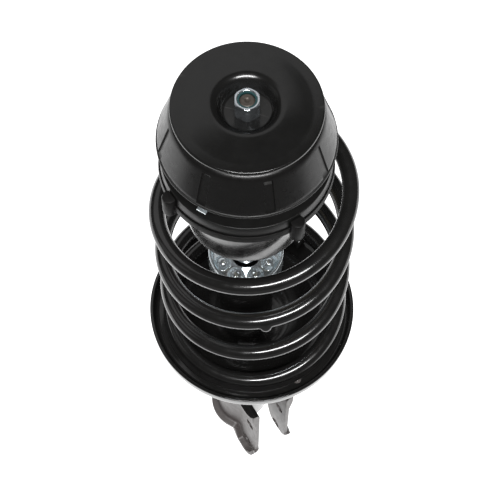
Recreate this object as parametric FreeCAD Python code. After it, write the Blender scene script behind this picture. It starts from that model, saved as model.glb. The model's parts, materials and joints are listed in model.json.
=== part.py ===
import FreeCAD, Part
import math
import os

# Front suspension strut assembly, in millimetres.
# The strut's axis is Z, pointing up. The origin is on that axis, in the plane where the top
# mount is clamped to the body tower. The two ears that hold the steering knuckle reach
# along -Y, and their bolts lie along X. The damper is drawn at full extension.

Vector = FreeCAD.Vector

# Driving dimensions
ROD_R = 11.0
THREAD_R = 6.0
TUBE_R = 25.5
TUBE_WALL = 2.2
TUBE_TOP = -244.0
TUBE_BOTTOM = -612.0

WASHER_R = 56.4
CONE_TOP_R = 56.4
CONE_TOP_Z = -3.0
CONE_BASE_R = 68.2
CONE_BASE_Z = -39.4
GROOVE_COUNT = 8
GROOVE_FIRST_ANGLE = -150.5
GROOVE_WIDTH = 6.5
GROOVE_DEPTH = 0.8
SHEET = 3.0

BALL_R = 3.0
BALL_RING_R = 48.5
BALL_COUNT = 24
BEARING_Z = -52.5
RUN = 0.08

SEAT_PLATE_TOP = -60.0
SEAT_EDGE_Z = -63.0
SEAT_WALL_R = 66.0
ISOLATOR_BOTTOM = -84.7
SEAT_WALL_BOTTOM = -79.0
WRAP_TOP = -74.0
NUB_ANGLES = (2.0, 92.0, 182.0, 273.0)
NUB_R = 6.0
BELL_TOP_R = 50.5
BELL_BOTTOM_Z = -155.0

WIRE_R = 7.0
COIL_R = 79.0
PIGTAIL_R = 64.0
PIGTAIL_Z = -92.0
PIGTAIL_DROP = 28.0
PIGTAIL_TURNS = 0.5
COIL_STEP = 30.0
PITCH = 70.0
SPRING_CENTRE = (5.0, -2.9)
SPRING_START_ANGLE = 149.5
GROUND_COIL_SWEEP = 215.0

PAN_CENTRE = (4.1, -5.0)
PAN_R = 97.1
PAN_RIM_Z = -349.5
PAN_FLOOR_Z = -358.5
HUB_Z = -379.0
PAD_TOP = -357.0
COIL_REST = 0.2
DRAIN_R = 3.8
DRAIN_RING_R = 86.0
DRAIN_ANGLE = -92.5

CAP_R = 33.0
CAP_RIM_Z = -233.0
CAP_FLOOR_Z = -242.5
CAP_HOLE_R = 13.0
DOME_COUNT = 8
DOME_R = 6.3
DOME_RING_R = 22.3

PRESSURE_R = 17.0
PRESSURE_WALL = 1.5
GUIDE_BOTTOM = -285.0
PRESSURE_BOTTOM = -575.0

BRACKET_SHEET = 4.0
EAR_GAP = 33.0
EAR_FRONT_Y = -58.8
BRACKET_TOP = -505.0
WRAP_BOTTOM = -617.0
EAR_BOTTOM = -636.0
FLANGE = 8.0
UPPER_BOLT = (-45.6, -562.0)
LOWER_BOLT = (-41.0, -623.0)
BOLT_HOLE_R = 6.5


def profile_wire(points, place):
    """Closed wire: a point is (a, b), or (a, b, mid_a, mid_b) for an arc that ends there."""
    edges = []
    last = place(points[0][0], points[0][1])
    for point in list(points[1:]) + [points[0][:2]]:
        end = place(point[0], point[1])
        if len(point) == 4:
            edges.append(Part.Arc(last, place(point[2], point[3]), end).toShape())
        elif (end - last).Length > 1e-6:
            edges.append(Part.LineSegment(last, end).toShape())
        last = end
    return Part.Wire(edges)


def turned(points, centre=(0.0, 0.0)):
    """Solid of revolution about a vertical axis, from (radius, height) points."""
    wire = profile_wire(points, lambda r, z: Vector(centre[0] + r, centre[1], z))
    axis_point = Vector(centre[0], centre[1], 0.0)
    return Part.Face(wire).revolve(axis_point, Vector(0, 0, 1), 360)


def ring(inner, outer, low, high, centre=(0.0, 0.0)):
    return turned([(inner, low), (outer, low), (outer, high), (inner, high)], centre)


def rod(radius, low, high, centre=(0.0, 0.0)):
    return Part.makeCylinder(radius, high - low, Vector(centre[0], centre[1], low))


def hexagon(across_flats, low, high, turn=0.0):
    corner_r = across_flats / math.sqrt(3.0)
    corners = []
    for i in range(7):
        angle = math.radians(60.0 * i + turn)
        corners.append(Vector(corner_r * math.cos(angle), corner_r * math.sin(angle), low))
    return Part.Face(Part.makePolygon(corners)).extrude(Vector(0, 0, high - low))


def side_plate(points, low_x, high_x):
    """Prism across X, from (y, z) points."""
    wire = profile_wire(points, lambda y, z: Vector(low_x, y, z))
    return Part.Face(wire).extrude(Vector(high_x - low_x, 0, 0))


def around(shape, count, first=0.0):
    """Copies of a shape, evenly spaced about the strut's axis."""
    copies = []
    for i in range(count):
        copy = shape.copy()
        copy.rotate(Vector(0, 0, 0), Vector(0, 0, 1), first + 360.0 * i / count)
        copies.append(copy)
    return copies


# Top mount: it turns with the piston rod


def rod_nut():
    """Hexagon lock nut with a round collar that holds its insert."""
    body = hexagon(18.0, -4.0, 8.0, 19.0)
    chamfer = turned([(0, -4), (9.2, -4), (10.6, -2.6), (10.6, 6.2), (9.0, 8.0), (0, 8.0)])
    collar = turned([(0, 7.0), (9.8, 7.0), (9.8, 11.0, 10.0, 9.0), (8.4, 11.9, 9.3, 11.6), (0, 11.9)])
    nut = body.common(chamfer).fuse(collar)
    nut = nut.cut(rod(THREAD_R + 0.05, -5.0, 13.0))
    return nut.cut(rod(7.4, 8.6, 11.0)).removeSplitter()


def nut_insert():
    return ring(THREAD_R + 0.05, 7.35, 8.7, 10.95)


def rebound_washer():
    """Dished pressed washer with a bowl in the middle for the nut."""
    points = [
        (THREAD_R + 0.3, -4.0),
        (18.0, -4.0),
        (20.0, -2.2, 19.6, -3.5),
        (23.0, 5.2),
        (26.5, 7.0, 24.2, 6.7),
        (47.6, 4.4, 37.0, 6.2),
        (49.4, 3.8),
        (55.4, 3.4),
        (WASHER_R, 2.2, 56.1, 3.1),
        (WASHER_R, 0.0),
        (48.6, 0.0),
        (46.6, 1.2),
        (27.0, 3.6, 37.0, 2.8),
        (25.6, 2.8, 26.1, 3.4),
        (22.8, -5.2),
        (20.0, -7.4, 21.8, -7.0),
        (THREAD_R + 0.3, -7.4),
    ]
    return turned(points)


def mount_sleeve():
    """Steel tube that the rod's thread clamps between its shoulder and the washer."""
    return ring(THREAD_R + 0.3, 11.0, -30.0, -7.5)


def mount_rubber():
    """Conical rubber body with shallow slots down its side and a hollow below."""
    side_r = CONE_TOP_R + 1.4
    side_top = CONE_TOP_Z - 3.1
    body = turned(
        [
            (11.1, -8.0),
            (24.0, -8.0),
            (28.0, CONE_TOP_Z + 1.0),
            (CONE_TOP_R - 4.3, CONE_TOP_Z + 1.0),
            (side_r, side_top, CONE_TOP_R - 0.8, CONE_TOP_Z - 0.1),
            (CONE_BASE_R - 0.6, -37.6),
            (CONE_BASE_R, CONE_BASE_Z, CONE_BASE_R, -38.4),
            (41.0, CONE_BASE_Z),
            (34.0, -30.0, 39.0, -33.0),
            (20.0, -30.0),
            (11.1, -30.0),
        ]
    )
    slope = math.degrees(math.atan2(CONE_BASE_R - side_r, side_top - CONE_BASE_Z))
    groove = Part.makeBox(5.0, GROOVE_WIDTH, 52.0, Vector(-GROOVE_DEPTH, -GROOVE_WIDTH / 2.0, -15.0))
    groove.rotate(Vector(0, 0, 0), Vector(0, 1, 0), -slope)
    groove.translate(Vector((side_r + CONE_BASE_R) / 2.0, 0, (CONE_BASE_Z + side_top) / 2.0))
    return body.cut(around(groove, GROOVE_COUNT, GROOVE_FIRST_ANGLE))


def mount_base_plate():
    """Pressed plate under the rubber, with a turned-down wall round the bearing."""
    plate = turned(
        [
            (24.0, -39.6),
            (CONE_BASE_R - 0.4, -39.6),
            (CONE_BASE_R + 1.4, -41.4, CONE_BASE_R + 0.9, -40.1),
            (CONE_BASE_R - 0.4, -43.4, CONE_BASE_R + 0.9, -42.8),
            (58.5, -43.4),
            (58.5, -57.0),
            (56.5, -57.0),
            (56.5, -43.0),
            (24.0, -43.0),
        ]
    )
    return plate


def housing_clips():
    """Bright clips that hold the bearing's housing together."""
    clip = Part.makeBox(2.2, 8.0, 13.5, Vector(58.6, -4.0, -57.5))
    foot = Part.makeBox(5.4, 8.0, 1.6, Vector(58.6, -4.0, -59.1))
    return Part.makeCompound(around(clip.fuse(foot).removeSplitter(), 3, -152.5))


def upper_race():
    face_z = BEARING_Z + 1.9
    race = ring(42.0, 56.3, face_z, -43.1)
    return race.cut(Part.makeTorus(BALL_RING_R, BALL_R + RUN, Vector(0, 0, BEARING_Z)))


def lower_race():
    face_z = BEARING_Z - 1.9
    race = ring(42.0, 55.0, SEAT_PLATE_TOP + 0.05, face_z)
    return race.cut(Part.makeTorus(BALL_RING_R, BALL_R + RUN, Vector(0, 0, BEARING_Z)))


def bearing_balls():
    ball = Part.makeSphere(BALL_R, Vector(BALL_RING_R, 0, BEARING_Z))
    return Part.makeCompound(around(ball, BALL_COUNT))


def bearing_cage():
    cage = ring(44.0, 53.0, BEARING_Z - 0.8, BEARING_Z + 0.8)
    pocket = Part.makeSphere(BALL_R + RUN, Vector(BALL_RING_R, 0, BEARING_Z))
    return cage.cut(around(pocket, BALL_COUNT))


# Upper spring seat: it turns on the bearing under the mount


def upper_spring_seat():
    """Inverted pressed dish: a plate over the spring with a short outer wall."""
    low = SEAT_PLATE_TOP - SHEET
    return turned(
        [
            (17.0, SEAT_PLATE_TOP),
            (57.0, SEAT_PLATE_TOP),
            (60.0, SEAT_EDGE_Z),
            (SEAT_WALL_R - 1.5, SEAT_EDGE_Z),
            (SEAT_WALL_R, SEAT_EDGE_Z - 1.5, SEAT_WALL_R - 0.4, SEAT_EDGE_Z - 0.4),
            (SEAT_WALL_R + 1.4, SEAT_WALL_BOTTOM),
            (SEAT_WALL_R - 1.2, SEAT_WALL_BOTTOM),
            (SEAT_WALL_R - 2.6, SEAT_EDGE_Z - 4.0),
            (SEAT_WALL_R - 3.6, SEAT_EDGE_Z - SHEET, SEAT_WALL_R - 2.9, SEAT_EDGE_Z - 3.3),
            (58.6, SEAT_EDGE_Z - SHEET),
            (55.6, low),
            (17.0, low),
        ]
    )


def upper_spring_isolator():
    """Rubber ring that the top coil bears on, with half-round lugs up its outside."""
    body = turned(
        [
            (BELL_TOP_R + 1.2, SEAT_WALL_BOTTOM - 0.2),
            (SEAT_WALL_R + 1.5, SEAT_WALL_BOTTOM - 0.2),
            (SEAT_WALL_R + 0.9, WRAP_TOP),
            (SEAT_WALL_R + 2.2, WRAP_TOP - 0.6, SEAT_WALL_R + 1.7, WRAP_TOP - 0.1),
            (SEAT_WALL_R + 2.8, -81.0),
            (SEAT_WALL_R - 1.0, ISOLATOR_BOTTOM, SEAT_WALL_R + 1.6, -83.6),
            (BELL_TOP_R + 1.2, ISOLATOR_BOTTOM),
        ]
    )
    nub_centre = SEAT_WALL_R + 3.4
    lug = rod(NUB_R, -86.0, -66.0, (nub_centre, 0.0))
    foot = Part.makeSphere(NUB_R, Vector(nub_centre, 0, -86.0))
    inner = SEAT_WALL_R + 1.6
    clear = turned([(0, -100), (inner, -100), (inner, SEAT_WALL_BOTTOM), (inner - 1.0, -60), (0, -60)])
    whole = body
    for angle in NUB_ANGLES:
        piece = lug.fuse(foot).cut(clear)
        piece.rotate(Vector(0, 0, 0), Vector(0, 0, 1), angle)
        whole = whole.fuse(piece)
    return whole


def bell():
    """Deep gloss cup that hangs under the seat, round the bump stop."""
    inner = BELL_TOP_R - 2.0
    return turned(
        [
            (14.0, -63.2),
            (BELL_TOP_R - 3.0, -63.2),
            (BELL_TOP_R, -66.2, BELL_TOP_R - 0.9, -64.1),
            (BELL_TOP_R - 1.0, -147.0),
            (43.5, BELL_BOTTOM_Z, 47.6, -152.6),
            (43.5, BELL_BOTTOM_Z + 2.0),
            (inner - 1.0, -147.0, 46.2, -151.2),
            (inner, -68.0),
            (inner - 2.8, -65.2, inner - 0.9, -66.1),
            (14.0, -65.2),
        ]
    )


def bump_stop_cup():
    return turned(
        [(14.0, -65.3), (27.5, -65.3), (27.5, -86.0), (25.7, -86.0), (25.7, -67.1), (14.0, -67.1)]
    )


def bump_stop():
    """Foam stop round the rod, with two necks that let it fold."""
    return turned(
        [
            (12.6, -67.2),
            (25.6, -67.2),
            (25.6, -92.0),
            (19.5, -100.0, 20.6, -95.0),
            (24.5, -108.0, 20.6, -105.0),
            (24.5, -124.0, 26.0, -116.0),
            (19.0, -132.0, 20.4, -127.0),
            (23.0, -140.0, 20.4, -137.0),
            (23.0, -154.0, 24.4, -147.0),
            (18.0, -162.0, 19.2, -158.0),
            (20.0, -178.0, 21.2, -169.0),
            (16.0, -186.0, 19.0, -183.5),
            (12.6, -186.0),
        ]
    )


# Piston rod and piston: they hang from the mount


def piston_rod():
    """Chromed rod, stepped at both ends for its threads."""
    points = [
        (0, 10.6),
        (THREAD_R - 1.0, 10.6),
        (THREAD_R, 9.6),
        (THREAD_R, -30.1),
        (ROD_R - 1.0, -30.1),
        (ROD_R, -31.1),
        (ROD_R, -319.0),
        (THREAD_R, -319.0),
        (THREAD_R, -354.0),
        (0, -354.0),
    ]
    return turned(points)


def rebound_stop():
    """Steel ring fixed on the rod that stops it leaving the guide."""
    return ring(ROD_R + 0.05, 15.4, -300.0, -292.0)


def rebound_pad():
    return ring(ROD_R + 0.05, 14.8, -291.9, GUIDE_BOTTOM - 0.3)


def piston():
    """Sintered piston with a ring of flow holes."""
    body = ring(THREAD_R + 0.05, 16.6, -340.0, -322.0)
    band_groove = ring(15.6, 17.0, -337.0, -325.0)
    hole = rod(1.6, -341.0, -321.0, (11.5, 0.0))
    return body.cut(band_groove).cut(around(hole, 8))


def piston_band():
    return ring(15.65, PRESSURE_R - 0.05, -336.9, -325.1)


def valve_shims():
    """Thin spring discs that cover the piston's holes on both faces."""
    stacks = []
    for low, step in ((-321.9, 1.0), (-340.1, -1.0)):
        for i, radius in enumerate((13.6, 12.4, 11.0)):
            near = low + step * 0.5 * i
            far = near + step * 0.45
            stacks.append(ring(THREAD_R + 0.05, radius, min(near, far), max(near, far)))
    return Part.makeCompound(stacks)


def piston_nut():
    nut = hexagon(18.0, -352.0, -341.7)
    return nut.cut(rod(THREAD_R + 0.05, -353.0, -341.0))


# Strut body: tube, damper internals, lower seat and bracket


def strut_tube():
    inner = TUBE_R - TUBE_WALL
    return turned(
        [
            (inner, TUBE_BOTTOM + 9.0),
            (TUBE_R, TUBE_BOTTOM + 9.0),
            (TUBE_R, TUBE_TOP - 3.0),
            (TUBE_R - 3.0, TUBE_TOP, TUBE_R - 0.9, TUBE_TOP - 0.9),
            (20.0, TUBE_TOP),
            (20.0, TUBE_TOP - TUBE_WALL),
            (inner, TUBE_TOP - TUBE_WALL),
        ]
    )


def tube_base():
    """Domed cap welded into the tube's lower end."""
    edge = TUBE_BOTTOM + 8.9
    return turned(
        [
            (0, TUBE_BOTTOM),
            (TUBE_R - 7.0, TUBE_BOTTOM),
            (TUBE_R, edge - 2.0, TUBE_R - 1.8, TUBE_BOTTOM + 1.8),
            (TUBE_R, edge),
            (TUBE_R - TUBE_WALL - 0.05, edge),
            (TUBE_R - TUBE_WALL - 0.05, edge + 6.0),
            (TUBE_R - TUBE_WALL - 2.6, edge + 6.0),
            (TUBE_R - 8.0, TUBE_BOTTOM + SHEET, TUBE_R - 5.2, TUBE_BOTTOM + 5.0),
            (0, TUBE_BOTTOM + SHEET),
        ]
    )


def striker_cap():
    """Bright pressed cap on the tube's end: a raised rim round a ring of domes."""
    floor_low = CAP_FLOOR_Z - 1.4
    cup = turned(
        [
            (CAP_HOLE_R, floor_low),
            (CAP_HOLE_R, CAP_FLOOR_Z),
            (CAP_R - 3.4, CAP_FLOOR_Z),
            (CAP_R - 1.8, CAP_RIM_Z - 1.0),
            (CAP_R, CAP_RIM_Z - 1.0, CAP_R - 0.9, CAP_RIM_Z),
            (CAP_R, -256.0),
            (CAP_R - 1.4, -256.0),
            (CAP_R - 1.4, CAP_FLOOR_Z + 1.0),
            (CAP_R - 3.6, floor_low),
            (27.1, floor_low),
            (27.1, -262.0),
            (TUBE_R + 0.1, -262.0),
            (TUBE_R + 0.1, floor_low),
        ]
    )
    dome = Part.makeSphere(DOME_R, Vector(DOME_RING_R, 0, CAP_FLOOR_Z - 1.6))
    dome = dome.common(ring(0.5, CAP_R - 3.8, CAP_FLOOR_Z - 0.5, CAP_RIM_Z))
    for piece in around(dome, DOME_COUNT, -98.0):
        cup = cup.fuse(piece)
    return cup


def rod_seal():
    body = turned(
        [
            (ROD_R + 0.05, -252.0),
            (19.5, -252.0),
            (19.5, -246.4),
            (14.0, -246.4),
            (ROD_R + 0.05, -249.0),
        ]
    )
    return body


def rod_guide():
    """Sintered guide that closes the pressure tube and holds the rod's bush."""
    inner = TUBE_R - TUBE_WALL - 0.05
    return turned(
        [
            (12.6, GUIDE_BOTTOM),
            (16.9, GUIDE_BOTTOM),
            (16.9, -275.0),
            (18.4, -275.0),
            (inner, -268.0),
            (inner, -246.3),
            (19.6, -246.3),
            (19.6, -252.1),
            (12.6, -252.1),
        ]
    )


def guide_bush():
    return ring(ROD_R + 0.04, 12.55, GUIDE_BOTTOM, -254.0)


def pressure_tube():
    return ring(PRESSURE_R, PRESSURE_R + PRESSURE_WALL, PRESSURE_BOTTOM, -275.1)


def foot_valve():
    """Valve body that closes the pressure tube's lower end and stands on the base."""
    low = TUBE_BOTTOM + SHEET + 12.0
    body = turned(
        [
            (0, low),
            (15.0, low),
            (18.4, low + 4.0),
            (18.4, PRESSURE_BOTTOM - 0.1),
            (16.9, PRESSURE_BOTTOM - 0.1),
            (16.9, PRESSURE_BOTTOM + 6.0),
            (0, PRESSURE_BOTTOM + 6.0),
        ]
    )
    hole = rod(1.6, low - 1.0, PRESSURE_BOTTOM + 7.0, (10.0, 0.0))
    return body.cut(around(hole, 6))


def lower_spring_seat():
    """Dished pan off the tube's axis, with a collar that is welded to the tube."""
    top_line = [
        (14.0, HUB_Z),
        (38.0, HUB_Z),
        (66.0, PAN_FLOOR_Z),
        (90.0, PAN_FLOOR_Z),
        (92.6, PAN_FLOOR_Z + 2.8, 91.9, PAN_FLOOR_Z + 0.8),
        (93.8, PAN_RIM_Z - 1.2),
    ]
    bottom_line = [
        (PAN_R, PAN_RIM_Z - 1.2, PAN_R - 1.6, PAN_RIM_Z),
        (PAN_R - 1.0, PAN_FLOOR_Z),
        (PAN_R - 4.2, PAN_FLOOR_Z - SHEET, PAN_R - 1.8, PAN_FLOOR_Z - 2.2),
        (67.0, PAN_FLOOR_Z - SHEET),
        (39.0, HUB_Z - SHEET),
        (14.0, HUB_Z - SHEET),
    ]
    pan = turned(top_line + bottom_line, PAN_CENTRE)
    collar = ring(TUBE_R, TUBE_R + SHEET, HUB_Z - 17.0, HUB_Z - 0.5)
    angle = math.radians(DRAIN_ANGLE)
    drain_x = PAN_CENTRE[0] + DRAIN_RING_R * math.cos(angle)
    drain_y = PAN_CENTRE[1] + DRAIN_RING_R * math.sin(angle)
    spout = rod(DRAIN_R + 1.6, PAN_FLOOR_Z - 9.0, PAN_FLOOR_Z - 1.0, (drain_x, drain_y))
    pan = pan.fuse(collar).fuse(spout).cut(rod(TUBE_R + 0.05, HUB_Z - 30.0, HUB_Z + 30.0))
    return pan.cut(rod(DRAIN_R, PAN_FLOOR_Z - 12.0, PAN_FLOOR_Z + 5.0, (drain_x, drain_y)))


def lower_spring_pad():
    return ring(70.4, 84.6, PAN_FLOOR_Z + 0.05, PAD_TOP, PAN_CENTRE)


def coil_stations():
    """Radius and height of the wire's centre at even steps along the coil."""
    main_top = PIGTAIL_Z - PIGTAIL_DROP
    main_bottom = PAD_TOP + WIRE_R + COIL_REST
    main_turns = (main_top - main_bottom) / PITCH
    turns = PIGTAIL_TURNS + main_turns + GROUND_COIL_SWEEP / 360.0
    count = round(turns * 360.0 / COIL_STEP)
    stations = []
    for i in range(count + 1):
        turn = turns * i / count
        drawn_in = max(0.0, 1.0 - turn / PIGTAIL_TURNS)
        radius = COIL_R - (COIL_R - PIGTAIL_R) * drawn_in
        if turn < PIGTAIL_TURNS:
            height = main_top + PIGTAIL_DROP * drawn_in
        else:
            height = max(main_bottom, main_top - PITCH * (turn - PIGTAIL_TURNS))
        stations.append((turn, radius, height))
    return stations


def coil_spring():
    """Right-hand coil spring: a drawn-in top end, open turns and a flat lower end."""
    stations = coil_stations()
    points = []
    for i, (turn, radius, height) in enumerate(stations):
        near = stations[max(i - 1, 0) : i + 2]
        if len(near) == 3:
            radius = sum(r for _, r, _ in near) / 3.0
            height = sum(z for _, _, z in near) / 3.0
        angle = math.radians(SPRING_START_ANGLE - 360.0 * turn)
        x = SPRING_CENTRE[0] + radius * math.cos(angle)
        y = SPRING_CENTRE[1] + radius * math.sin(angle)
        points.append(Vector(x, y, height))
    curve = Part.BSplineCurve()
    curve.interpolate(points)
    path = curve.toShape()
    section = Part.Wire(Part.makeCircle(WIRE_R, points[0], path.tangentAt(path.FirstParameter)))
    return Part.Wire([path]).makePipeShell([section], True, False)


def ear_outline():
    """The bracket seen from the side, as (y, z) points: wrap behind, ears in front."""
    corner = 14.0
    arc = corner * (1.0 - math.sqrt(0.5))
    return [
        (40.0, BRACKET_TOP),
        (40.0, WRAP_BOTTOM),
        (-21.0, WRAP_BOTTOM),
        (-32.0, EAR_BOTTOM),
        (EAR_FRONT_Y + corner, EAR_BOTTOM),
        (EAR_FRONT_Y, EAR_BOTTOM + corner, EAR_FRONT_Y + arc, EAR_BOTTOM + arc),
        (EAR_FRONT_Y, BRACKET_TOP),
    ]


def bracket_plan(grow):
    """Solid block of the bracket's plan shape, grown outwards, over its whole height."""
    low = EAR_BOTTOM - 10.0
    height = BRACKET_TOP + 10.0 - low
    half = EAR_GAP / 2.0 + BRACKET_SHEET + grow
    wrap = Part.makeCylinder(TUBE_R + BRACKET_SHEET + grow, height, Vector(0, 0, low))
    ears = Part.makeBox(2.0 * half, -EAR_FRONT_Y, height, Vector(-half, EAR_FRONT_Y, low))
    return wrap.fuse(ears)


def knuckle_bracket():
    """Pressed clevis: it wraps the tube, and its two flanged ears take the knuckle."""
    whole = side_plate(ear_outline(), -50.0, 50.0)
    lowered = whole.copy()
    lowered.translate(Vector(0, 0, -BRACKET_SHEET))
    raised = whole.copy()
    raised.translate(Vector(0, 0, BRACKET_SHEET))
    strips = whole.cut(lowered).fuse(whole.cut(raised))
    shape = whole.common(bracket_plan(0.0))
    shape = shape.fuse(strips.common(bracket_plan(FLANGE)))
    for side in (-1.0, 1.0):
        face = side * (EAR_GAP / 2.0 + BRACKET_SHEET)
        edge = face + side * FLANGE
        corners = [
            Vector(face - side, EAR_FRONT_Y, BRACKET_TOP),
            Vector(edge, EAR_FRONT_Y, BRACKET_TOP),
            Vector(edge, EAR_FRONT_Y, BRACKET_TOP - 14.0),
            Vector(face, EAR_FRONT_Y, BRACKET_TOP - 40.0),
            Vector(face - side, EAR_FRONT_Y, BRACKET_TOP - 40.0),
        ]
        tab = Part.Face(Part.makePolygon(corners + corners[:1]))
        shape = shape.fuse(tab.extrude(Vector(0, BRACKET_SHEET, 0)))
    gap = Part.makeBox(EAR_GAP, 70.0, 160.0, Vector(-EAR_GAP / 2.0, -70.0, EAR_BOTTOM - 15.0))
    shape = shape.cut(gap).cut(rod(TUBE_R + 0.05, EAR_BOTTOM - 15.0, BRACKET_TOP + 15.0))
    for y, z in (UPPER_BOLT, LOWER_BOLT):
        hole = Part.makeCylinder(BOLT_HOLE_R, 100.0, Vector(-50.0, y, z), Vector(1, 0, 0))
        shape = shape.cut(hole)
    return shape.removeSplitter()


NODES = {
    "rod_nut": rod_nut,
    "nut_insert": nut_insert,
    "rebound_washer": rebound_washer,
    "mount_sleeve": mount_sleeve,
    "mount_rubber": mount_rubber,
    "mount_base_plate": mount_base_plate,
    "housing_clips": housing_clips,
    "bearing_upper_race": upper_race,
    "bearing_lower_race": lower_race,
    "bearing_balls": bearing_balls,
    "bearing_cage": bearing_cage,
    "upper_spring_seat": upper_spring_seat,
    "upper_spring_isolator": upper_spring_isolator,
    "bump_stop_bell": bell,
    "bump_stop_cup": bump_stop_cup,
    "bump_stop": bump_stop,
    "piston_rod": piston_rod,
    "rebound_stop": rebound_stop,
    "rebound_pad": rebound_pad,
    "piston": piston,
    "piston_band": piston_band,
    "valve_shims": valve_shims,
    "piston_nut": piston_nut,
    "strut_tube": strut_tube,
    "tube_base": tube_base,
    "striker_cap": striker_cap,
    "rod_seal": rod_seal,
    "rod_guide": rod_guide,
    "guide_bush": guide_bush,
    "pressure_tube": pressure_tube,
    "foot_valve": foot_valve,
    "lower_spring_seat": lower_spring_seat,
    "lower_spring_pad": lower_spring_pad,
    "coil_spring": coil_spring,
    "knuckle_bracket": knuckle_bracket,
}

os.makedirs("parts", exist_ok=True)
for name, build in NODES.items():
    shape = build()
    print(name, len(shape.Solids), shape.isValid(), round(shape.Volume), flush=True)
    shape.exportStep("parts/" + name + ".step")
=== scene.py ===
import json
import math

import bmesh
import bpy
from mathutils import Matrix, Vector


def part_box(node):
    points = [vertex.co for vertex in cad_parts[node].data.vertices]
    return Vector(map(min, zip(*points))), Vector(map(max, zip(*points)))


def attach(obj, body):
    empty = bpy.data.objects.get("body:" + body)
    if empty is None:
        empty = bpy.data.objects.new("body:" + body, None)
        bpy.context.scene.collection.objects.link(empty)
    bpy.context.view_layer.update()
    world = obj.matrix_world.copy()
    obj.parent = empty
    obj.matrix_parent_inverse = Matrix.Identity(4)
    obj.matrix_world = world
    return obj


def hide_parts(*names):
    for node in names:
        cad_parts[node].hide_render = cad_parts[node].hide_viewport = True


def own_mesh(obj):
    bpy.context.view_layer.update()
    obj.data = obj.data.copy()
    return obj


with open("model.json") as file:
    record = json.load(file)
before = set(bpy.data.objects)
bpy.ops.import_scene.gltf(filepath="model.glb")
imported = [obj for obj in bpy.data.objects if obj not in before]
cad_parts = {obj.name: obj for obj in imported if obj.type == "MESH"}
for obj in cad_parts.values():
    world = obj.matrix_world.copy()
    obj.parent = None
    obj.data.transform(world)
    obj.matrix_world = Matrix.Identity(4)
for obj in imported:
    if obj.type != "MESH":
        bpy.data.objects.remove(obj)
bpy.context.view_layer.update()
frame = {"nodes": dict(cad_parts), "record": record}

# A front suspension strut. Lengths here are in millimetres, and MM turns them into metres.
MM = 0.001
ROUND_STEPS = 160
FILLET_STEPS = 5


def top(node):
    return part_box(node)[1].z / MM


def bottom(node):
    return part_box(node)[0].z / MM


def radius(node):
    low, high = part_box(node)
    return (high.x - low.x) / 2.0 / MM


def middle(node):
    low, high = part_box(node)
    return ((low.x + high.x) / 2.0 / MM, (low.y + high.y) / 2.0 / MM)


# Driving dimensions, read from the frame where it has them
WASHER_R = radius("rebound_washer")
WASHER_TOP = top("rebound_washer")
CONE_R = radius("mount_rubber") - 1.0
CONE_TOP = top("mount_rubber")
CONE_BOTTOM = bottom("mount_rubber")
SEAT_TOP = top("upper_spring_seat")
RING_BOTTOM = -84.7
BELL_R = radius("bump_stop_bell")
BELL_BOTTOM = bottom("bump_stop_bell")
TUBE_R = radius("strut_tube")
TUBE_TOP = top("strut_tube")
CAP_R = radius("striker_cap")
CAP_TOP = top("striker_cap")
PAN_CENTRE = middle("lower_spring_seat")
PAN_R = radius("lower_spring_seat")
PAN_TOP = top("lower_spring_seat")
PAD_TOP = top("lower_spring_pad")
WIRE_R = 7.0
COIL_R = 79.0
BRACKET_TOP = top("knuckle_bracket")
EAR_BOTTOM = bottom("knuckle_bracket")
EAR_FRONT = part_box("knuckle_bracket")[0].y / MM


# Mesh helpers


def shade_smooth(mesh, sharp):
    mesh.polygons.foreach_set("use_smooth", [True] * len(mesh.polygons))
    mesh.set_sharp_from_angle(angle=math.radians(sharp))


def make_object(name, mesh, sharp=35.0):
    shade_smooth(mesh, sharp)
    item = bpy.data.objects.new(name, mesh)
    bpy.context.scene.collection.objects.link(item)
    return item


def object_from(name, verts, faces, sharp=35.0, merge=0.001):
    """Object from points in mm: doubles are merged and the normals are turned outwards."""
    work = bmesh.new()
    points = [work.verts.new(Vector(v) * MM) for v in verts]
    for face in faces:
        work.faces.new([points[i] for i in face])
    bmesh.ops.remove_doubles(work, verts=work.verts, dist=merge * MM)
    bmesh.ops.dissolve_degenerate(work, edges=work.edges, dist=merge * MM)
    bmesh.ops.recalc_face_normals(work, faces=work.faces)
    mesh = bpy.data.meshes.new(name)
    work.to_mesh(mesh)
    work.free()
    return make_object(name, mesh, sharp)


def rounded(corners):
    """Outline in which each (a, b, fillet) corner becomes a short curve of that size."""
    outline = []
    count = len(corners)
    for i, (a, b, fillet) in enumerate(corners):
        here = Vector((a, b))
        before = Vector(corners[i - 1][:2]) - here
        after = Vector(corners[(i + 1) % count][:2]) - here
        if fillet == 0:
            outline.append((a, b))
            continue
        reach = min(fillet, 0.48 * before.length, 0.48 * after.length)
        start = here + before.normalized() * reach
        end = here + after.normalized() * reach
        for step in range(FILLET_STEPS + 1):
            t = step / FILLET_STEPS
            point = start * (1 - t) ** 2 + here * 2 * t * (1 - t) + end * t * t
            outline.append((point.x, point.y))
    return outline


def skin(rings, size, closed):
    """Four-sided faces between rows of points; a closed run joins its last row to its first."""
    faces = []
    for i in range(rings if closed else rings - 1):
        n = (i + 1) % rings
        for j in range(size):
            k = (j + 1) % size
            faces.append((i * size + j, n * size + j, n * size + k, i * size + k))
    if not closed:
        faces.append(tuple(range(size)))
        faces.append(tuple(range((rings - 1) * size, rings * size)))
    return faces


def lathe(name, corners, centre=(0.0, 0.0), steps=ROUND_STEPS, sharp=35.0):
    """Ring turned about a vertical axis from a closed outline of (radius, height, fillet)."""
    outline = rounded(corners)
    verts = []
    for i in range(steps):
        angle = math.tau * i / steps
        for r, z in outline:
            verts.append((centre[0] + r * math.cos(angle), centre[1] + r * math.sin(angle), z))
    return object_from(name, verts, skin(steps, len(outline), True), sharp)


def cylinder(name, r, low, high, steps=96, centre=(0.0, 0.0)):
    return lathe(name, [(0, low, 0), (r, low, 0), (r, high, 0), (0, high, 0)], centre, steps)


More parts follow.
